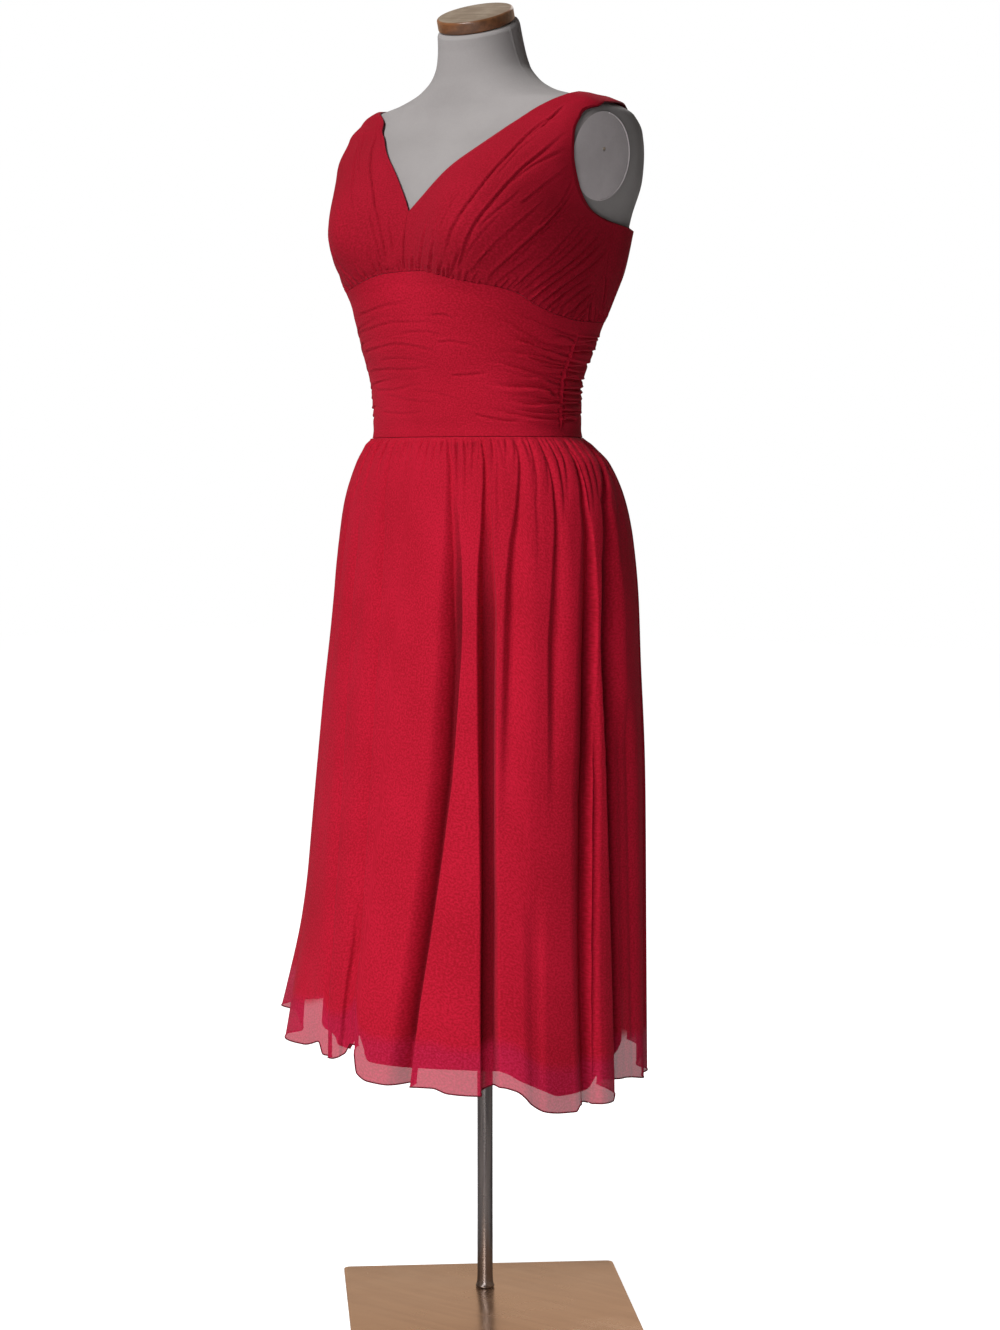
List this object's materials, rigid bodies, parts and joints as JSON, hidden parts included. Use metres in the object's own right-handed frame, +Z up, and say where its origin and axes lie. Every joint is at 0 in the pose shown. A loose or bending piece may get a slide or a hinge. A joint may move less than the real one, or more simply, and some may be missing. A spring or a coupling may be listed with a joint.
{
  "type": "a-line midi dress on dress form",
  "caption": "Sleeveless red a-line midi dress with gathered V-neck cups, ruched midriff and sheer-hemmed gathered skirt, on a limbless dress form with pole and plate.",
  "frame": {"origin": "on the pole's axis at the underside of the base plate", "axes": "+Z up along the pole, -Y the front of the dress, +X the wearer's left"},
  "size_m": [0.5064, 0.4726, 1.5581],
  "materials": {
    "form_cover": "matte knitted cover",
    "cap_wood": "satin varnish",
    "brushed_steel": "brushed",
    "red_chiffon": "sheer matte crepe chiffon",
    "red_lining": "smooth opaque lining"
  },
  "bodies": {
    "root": {"base_plate": "brushed_steel", "pole": "brushed_steel", "form_torso": "form_cover", "neck_cap": "cap_wood", "arm_plate_left": "form_cover", "arm_plate_right": "form_cover", "bodice_front_left": "red_chiffon", "bodice_front_right": "red_chiffon", "bodice_back_left": "red_chiffon", "bodice_back_right": "red_chiffon", "midriff_front": "red_chiffon", "midriff_back": "red_chiffon", "skirt_front": "red_chiffon", "skirt_back": "red_chiffon", "skirt_lining_front": "red_lining", "skirt_lining_back": "red_lining"}
  },
  "joints": []
}
